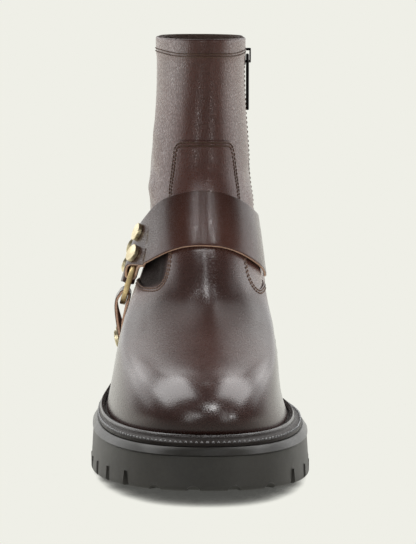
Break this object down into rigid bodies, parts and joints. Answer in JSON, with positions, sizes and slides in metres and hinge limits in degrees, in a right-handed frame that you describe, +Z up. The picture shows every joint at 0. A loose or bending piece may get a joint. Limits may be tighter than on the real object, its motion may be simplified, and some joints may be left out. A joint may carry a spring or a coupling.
{
  "type": "harness boot",
  "caption": "Ankle boot with a lug sole, side zip and strap harness joined by a metal ring on its outer side; hollow leather upper open at the collar, for a right foot.",
  "frame": {"origin": "on the floor under the middle of the boot's bounding box", "axes": "+Z up, toe towards -Y and heel towards +Y, the inner side of the right foot with the zip towards +X"},
  "size_m": [0.1036, 0.2824, 0.2012],
  "materials": {
    "upper_leather": "waxed dark red-brown full grain, soft sheen",
    "strap_leather": "smooth dark red-brown strap leather with raw tan edges",
    "sole_rubber": "matte charcoal-brown rubber",
    "heel_rubber": "matte charcoal-brown rubber",
    "welt_leather": "dark waxed welt strip",
    "insole_leather": "plain tan sock lining",
    "zip_tape": "black woven tape with a black chain",
    "zip_metal": "black coated metal, satin",
    "aged_brass": "aged brass, satin"
  },
  "bodies": {
    "boot": {"outsole": "sole_rubber", "heel": "heel_rubber", "welt": "welt_leather", "insole": "insole_leather", "upper": "upper_leather", "zip": "zip_tape", "zip_slider": "zip_metal", "harness_ring": "aged_brass", "instep_strap": "strap_leather", "heel_strap": "strap_leather", "arch_strap": "strap_leather", "instep_rivet_1": "aged_brass", "instep_rivet_2": "aged_brass", "heel_rivet_1": "aged_brass", "heel_rivet_2": "aged_brass", "arch_rivet_1": "aged_brass", "arch_rivet_2": "aged_brass"},
    "pull": {"zip_pull": "zip_metal"}
  },
  "joints": [
    {"name": "zip_pull", "type": "hinge", "parent": "boot", "child": "pull", "pos_m": [0.02486, 0.0758, 0.1904], "axis": [0, -1, 0], "range_deg": [0, 170]}
  ]
}
